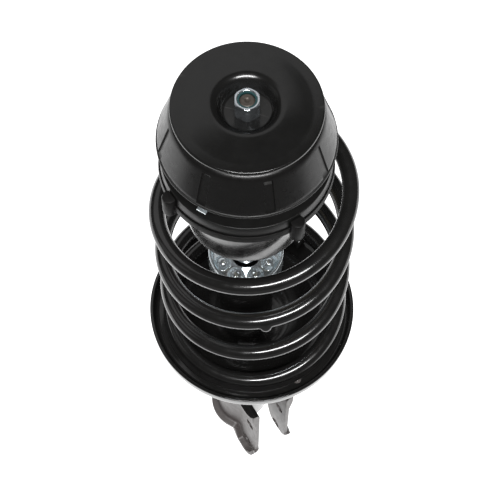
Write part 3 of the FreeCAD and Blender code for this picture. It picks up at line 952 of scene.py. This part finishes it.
def striker_cap():
    """Pressed zinc cap: a bumped floor inside a raised rim, over two plain skirts."""
    low = bottom("striker_cap")
    floor_rows = 30
    under = CAP_FLOOR - CAP_SHEET
    outside = rounded(
        [
            (CAP_WALL_R, CAP_FLOOR, 1.8),
            (31.0, CAP_TOP, 1.0),
            (CAP_R, CAP_TOP, 1.0),
            (CAP_R, CAP_SKIRT_LOW, 0.5),
            (CAP_R - 1.4, CAP_SKIRT_LOW, 0.5),
            (CAP_R - 1.4, CAP_FLOOR + 0.8, 1.0),
            (CAP_R - 3.8, under, 1.0),
            (27.1, under, 0.6),
            (27.1, low, 0.5),
            (TUBE_R + 0.15, low, 0.5),
            (TUBE_R + 0.15, under, 0.3),
            (CAP_HOLE_R, under, 0.3),
        ]
    )
    verts = []
    for i in range(CAP_STEPS):
        angle = math.tau * i / CAP_STEPS
        for j in range(floor_rows + 1):
            r = CAP_HOLE_R + (CAP_WALL_R - 1.2 - CAP_HOLE_R) * j / floor_rows
            x, y = r * math.cos(angle), r * math.sin(angle)
            fade = min(1.0, (r - CAP_HOLE_R) / CAP_HOLE_FADE)
            verts.append((x, y, CAP_FLOOR + (cap_height(x, y) - CAP_FLOOR) * fade))
        for r, z in outside:
            verts.append((r * math.cos(angle), r * math.sin(angle), z))
    size = floor_rows + 1 + len(outside)
    item = object_from("zinc_striker_cap", verts, skin(CAP_STEPS, size, True), 50.0)
    stand_for(item, "striker_cap", BRIGHTENED_ZINC)


PAN_FLOOR = PAD_TOP - 1.5
PAN_HUB = -379.0
PAN_SHEET = 3.0
DRAIN_R = 3.8
DRAIN_RING_R = 83.5
DRAIN_ANGLE = math.radians(-90.0)


def spring_pan():
    """Dished pan off the tube's axis, with a rolled rim, a weld collar and a drain hole."""
    item = lathe(
        "lower_pan",
        [
            (14.0, PAN_HUB, 0),
            (36.0, PAN_HUB, 5.0),
            (48.0, PAN_HUB + 5.0, 8.0),
            (66.0, PAN_FLOOR, 6.0),
            (92.2, PAN_FLOOR, 4.0),
            (94.0, PAN_TOP, 0.7),
            (PAN_R + 0.1, PAN_TOP, 1.0),
            (PAN_R - 0.5, PAN_FLOOR - PAN_SHEET, 2.6),
            (67.0, PAN_FLOOR - PAN_SHEET, 6.0),
            (49.0, PAN_HUB + 2.0, 8.0),
            (37.0, PAN_HUB - PAN_SHEET, 5.0),
            (14.0, PAN_HUB - PAN_SHEET, 0),
        ],
        PAN_CENTRE,
        192,
    )
    collar = lathe(
        "collar",
        [
            (TUBE_R - 1.0, bottom("lower_spring_seat"), 0.5),
            (TUBE_R + 3.0, bottom("lower_spring_seat"), 1.0),
            (TUBE_R + 3.0, PAN_HUB - 4.0, 0),
            (TUBE_R + 6.0, PAN_HUB - 1.5, 1.0),
            (TUBE_R - 1.0, PAN_HUB - 1.5, 0),
        ],
    )
    combine(item, collar, "UNION")
    bore = cylinder("bore", TUBE_R + 0.05, PAN_HUB - 40.0, PAN_HUB + 40.0, ROUND_STEPS)
    combine(item, bore, "DIFFERENCE")
    x = PAN_CENTRE[0] + DRAIN_RING_R * math.cos(DRAIN_ANGLE)
    y = PAN_CENTRE[1] + DRAIN_RING_R * math.sin(DRAIN_ANGLE)
    combine(item, cylinder("drain", DRAIN_R, PAN_FLOOR - 8.0, PAN_FLOOR + 6.0, 32, (x, y)), "DIFFERENCE")
    bevel(item, 0.4, 2, 50.0)
    settle(item)
    shade_smooth(item.data, 30.0)
    stand_for(item, "lower_spring_seat", PAINT)
    # The spout's floor plugs the drain hole in lighter bracket paint: a painted view of the dimly lit ground
    # seen through the hole.
    spout = lathe(
        "drain_spout_painted_view",
        [
            (0.8, PAN_FLOOR - 1.2, 0.2),
            (DRAIN_R - 0.05, PAN_FLOOR - 1.2, 0.4),
            (DRAIN_R - 0.05, PAN_FLOOR - 9.0, 0.4),
            (DRAIN_R - 1.2, PAN_FLOOR - 9.0, 0.4),
            (DRAIN_R - 1.2, PAN_FLOOR - 2.4, 0),
            (0.8, PAN_FLOOR - 2.4, 0.2),
        ],
        (x, y),
        32,
    )
    stand_for(spout, "lower_spring_seat", LIGHTENED_BRACKET_PAINT)


# Knuckle bracket

SHEET = 4.0
EAR_MIDDLE = 18.5
WRAP_MIDDLE = TUBE_R + SHEET / 2.0
BEND_R = 5.0
FLANGE = 9.6
FLANGE_END = 5.3
FLANGE_FADE = 15.0
COVER_BACK = -20.0
COVER_SKIN = 0.2
COVER_BEND = 60.0
COVER_STEPS = 5
WRAP_BOTTOM = -617.0
WRAP_STEPS = 24
EAR_BACK = -33.0
EAR_STEPS = 14
JOIN_ANGLE = math.radians(-32.0)
JOIN_PULL = 9.0
JOIN_STEPS = 12
STEP_BEHIND = -19.0
STEP_LENGTH = 15.0
CORNER_R = 14.0
BEND_STEPS = 6
WALL_ROWS = 16
TAB_REACH = 6.6
TAB_THICK = 3.6
BOLT_R = 6.5
BOLTS = ((-45.6, -562.0), (-41.0, -623.0))


def bracket_half():
    """Right half of the bracket's plan, from the ear's front edge to the back: (x, y)."""
    run = EAR_BACK - EAR_FRONT
    points = [(EAR_MIDDLE, EAR_FRONT + run * i / EAR_STEPS) for i in range(EAR_STEPS)]
    start = Vector((EAR_MIDDLE, EAR_BACK))
    end = Vector((WRAP_MIDDLE * math.cos(JOIN_ANGLE), WRAP_MIDDLE * math.sin(JOIN_ANGLE)))
    first = start + Vector((0, JOIN_PULL))
    second = end - Vector((-math.sin(JOIN_ANGLE), math.cos(JOIN_ANGLE))) * JOIN_PULL
    for i in range(JOIN_STEPS + 1):
        t = i / JOIN_STEPS
        a, b, c, d = (1 - t) ** 3, 3 * t * (1 - t) ** 2, 3 * t * t * (1 - t), t ** 3
        points.append(tuple(start * a + first * b + second * c + end * d))
    for i in range(1, WRAP_STEPS + 1):
        angle = JOIN_ANGLE + (math.pi / 2.0 - JOIN_ANGLE) * i / WRAP_STEPS
        points.append((WRAP_MIDDLE * math.cos(angle), WRAP_MIDDLE * math.sin(angle)))
    return points


def lower_edge(y):
    """Height of the bracket's lower edge: up behind, down along the ears, round in front."""
    t = min(1.0, max(0.0, (STEP_BEHIND - y) / STEP_LENGTH))
    t = t * t * (3.0 - 2.0 * t)
    z = WRAP_BOTTOM + (EAR_BOTTOM - WRAP_BOTTOM) * t
    into = EAR_FRONT + CORNER_R - y
    if into > 0.0:
        z += CORNER_R - math.sqrt(max(0.0, CORNER_R ** 2 - min(into, CORNER_R) ** 2))
    return z


def wall_section(y):
    """Section of the bracket's sheet: (distance outwards, height), flange to flange."""
    near_front = min(1.0, max(0.0, (y - EAR_FRONT) / FLANGE_FADE))
    reach = FLANGE_END + (FLANGE - FLANGE_END) * math.sqrt(1.0 - (1.0 - near_front) ** 2)
    high = BRACKET_TOP - SHEET / 2.0
    low = lower_edge(y) + SHEET / 2.0
    section = [(reach, high)]
    bend = []
    for i in range(BEND_STEPS + 1):
        turn = math.radians(90.0 * i / BEND_STEPS)
        bend.append((BEND_R * (1.0 - math.sin(turn)), BEND_R * (1.0 - math.cos(turn))))
    section += [(out, high - drop) for out, drop in bend]
    for i in range(1, WALL_ROWS):
        section.append((0.0, high - BEND_R + (low - high + 2.0 * BEND_R) * i / WALL_ROWS))
    section += [(rise, low + out) for out, rise in bend]
    section.append((reach, low))
    return section


def front_tab(side):
    """Short stiffening return at the top of an ear's front edge, tapering downwards."""
    face = side * (EAR_MIDDLE + SHEET / 2.0 - 1.0)
    edge = side * (EAR_MIDDLE + TAB_REACH)
    high = BRACKET_TOP - 1.0
    corners = [(face, high), (edge, high), (edge, high - 13.0), (face, high - 42.0)]
    verts = [(x, y, z) for y in (EAR_FRONT - 0.15, EAR_FRONT + TAB_THICK) for x, z in corners]
    faces = [(0, 1, 2, 3), (7, 6, 5, 4)]
    faces += [(i, (i + 1) % 4, (i + 1) % 4 + 4, i + 4) for i in range(4)]
    item = object_from("ear_tab_left" if side < 0.0 else "ear_tab_right", verts, faces)
    bevel(item, 1.2)
    stand_for(item, "knuckle_bracket", LIGHTENED_BRACKET_PAINT)


def flange_shadow_skin(side):
    """Thin gloss black skin on the top of an ear's flange, down into its bend: painted shadow of the pan over
    the flange.
    """
    half = bracket_half()
    high = BRACKET_TOP - SHEET / 2.0 - BEND_R
    verts = []
    ear = [i for i, (x, y) in enumerate(half) if y < COVER_BACK]
    for i in ear:
        x, y = half[i]
        ahead = Vector(half[i + 1]) - Vector(half[max(i - 1, 0)])
        out = Vector((ahead.y, -ahead.x)).normalized()
        reach = wall_section(y)[0][0]
        edge = []
        for r in (BEND_R + SHEET / 2.0 + COVER_SKIN, BEND_R + SHEET / 2.0 - COVER_SKIN):
            row = [(reach, high + r)]
            for step in range(COVER_STEPS + 1):
                turn = math.radians(COVER_BEND * step / COVER_STEPS)
                row.append((BEND_R - r * math.sin(turn), high + r * math.cos(turn)))
            edge += row if not edge else row[::-1]
        for distance, z in edge:
            verts.append((side * (x + out.x * distance), y + out.y * distance, z))
    faces = skin(len(ear), 2 * (COVER_STEPS + 2), False)
    item = object_from("flange_cover_left" if side < 0.0 else "flange_cover_right", verts, faces)
    stand_for(item, "knuckle_bracket", PAINT)


def bracket():
    """Pressed clevis: a wrap round the tube, flanged edges and two pierced ears."""
    half = bracket_half()
    path = half + [(-x, y) for x, y in reversed(half[:-1])]
    verts = []
    count = len(path)
    for i, (x, y) in enumerate(path):
        ahead = Vector(path[min(i + 1, count - 1)]) - Vector(path[max(i - 1, 0)])
        out = Vector((ahead.y, -ahead.x)).normalized()
        for distance, z in wall_section(y):
            verts.append((x + out.x * distance, y + out.y * distance, z))
    size = len(wall_section(0.0))
    faces = []
    for i in range(count - 1):
        for j in range(size - 1):
            a = i * size + j
            faces.append((a, a + size, a + size + 1, a + 1))
    item = object_from("clevis_bracket", verts, faces)
    thick = item.modifiers.new("sheet", "SOLIDIFY")
    thick.thickness = SHEET * MM
    thick.offset = 0.0
    thick.use_even_offset = True
    settle(item)
    for y, z in BOLTS:
        drill = cylinder("drill", BOLT_R, -50.0, 50.0, 48)
        drill.data.transform(Matrix.Translation((0, y * MM, z * MM)) @ Matrix.Rotation(math.pi / 2.0, 4, "Y"))
        combine(item, drill, "DIFFERENCE")
    bevel(item, 0.7, 3, 50.0)
    settle(item)
    shade_smooth(item.data, 40.0)
    stand_for(item, "knuckle_bracket", LIGHTENED_BRACKET_PAINT)
    for side in (-1.0, 1.0):
        front_tab(side)
        # Black skins over the flange tops: painted shadow of the pan.
        flange_shadow_skin(side)


# Stage, lights and camera


def stage_floor():
    """White ground below the strut; these lengths are in metres."""
    size = 6.0
    gap = 0.03
    height = bottom("knuckle_bracket") * MM - gap
    mesh = bpy.data.meshes.new("floor")
    corners = [(-size, -size, height), (size, -size, height), (size, size, height), (-size, size, height)]
    mesh.from_pydata(corners, [], [(0, 1, 2, 3)])
    item = bpy.data.objects.new("floor", mesh)
    bpy.context.scene.collection.objects.link(item)
    item.data.materials.append(floor_white())


def soft_light(name, azimuth, elevation, distance, size, radiance):
    """Area light facing LIGHT_AIM; its distance and size are in metres, its direction in degrees."""
    lamp = bpy.data.lights.new(name, "AREA")
    lamp.shape = "RECTANGLE"
    lamp.size, lamp.size_y = size
    lamp.energy = radiance * math.pi * size[0] * size[1]
    item = bpy.data.objects.new(name, lamp)
    back = facing(math.radians(azimuth), math.radians(elevation))
    item.location = LIGHT_AIM + back * distance
    item.rotation_euler = back.to_track_quat("Z", "Y").to_euler()
    bpy.context.scene.collection.objects.link(item)


def set_world(strength):
    world = bpy.data.worlds.new("studio")
    world.use_nodes = True
    world.node_tree.nodes["Background"].inputs["Color"].default_value = (1.0, 1.0, 1.0, 1.0)
    world.node_tree.nodes["Background"].inputs["Strength"].default_value = strength
    bpy.context.scene.world = world


CAMERA_AZIMUTH = math.radians(-30.5)
CAMERA_ELEVATION = math.radians(64.0)
CAMERA_DISTANCE = 967.0
CAMERA_DROP = 102.5
CAMERA_SIDE = 2.05
CAMERA_LEAN = 0.0065
LENS = 96.55


def facing(a, e):
    """Direction out to a viewer at azimuth a, from -Y towards +X, and elevation e."""
    return Vector((math.sin(a) * math.cos(e), -math.cos(a) * math.cos(e), math.sin(e)))


# Where the lights point, in metres
LIGHT_AIM = Vector((0.0, 0.0, -0.15))


def make_camera():
    """Camera high in front of the strut, aimed below its top."""
    a = CAMERA_AZIMUTH
    back = facing(CAMERA_AZIMUTH, CAMERA_ELEVATION)
    right = Vector((math.cos(a), math.sin(a), 0.0))
    up = back.cross(right)
    place = back * CAMERA_DISTANCE - up * CAMERA_DROP + right * CAMERA_SIDE
    basis = Matrix((right, up, back)).transposed().to_4x4()
    away = Vector((-math.sin(a), math.cos(a), 0.0))
    camera = bpy.data.objects.new("camera", bpy.data.cameras.new("camera"))
    camera.matrix_world = Matrix.Rotation(-CAMERA_LEAN, 4, away) @ Matrix.Translation(place * MM) @ basis
    camera.data.sensor_width = 36.0
    camera.data.lens = LENS
    camera.data.clip_start = 0.05
    camera.data.clip_end = 30.0
    bpy.context.scene.collection.objects.link(camera)
    bpy.context.scene.camera = camera


def make_lights():
    soft_light("front_sheet", -25.0, 59.0, 1.7, (1.0, 0.24), 52.0)
    soft_light("back_sheet", 172.0, 50.0, 2.0, (2.2, 1.3), 0.6)
    soft_light("left_sheet", -118.0, 22.0, 2.2, (1.2, 1.2), 0.3)


make_camera()
set_world(0.04)
make_lights()
stage_floor()
paint_cad_nodes()
washer()
lock_nut()
rod()
rubber_cone()
base_plate()
spring_seat()
isolator()
bell()
bump_stop()
coil_spring()
tube()
tube_base()
striker_cap()
spring_pan()
bracket()

bpy.context.scene.view_settings.view_transform = "Standard"
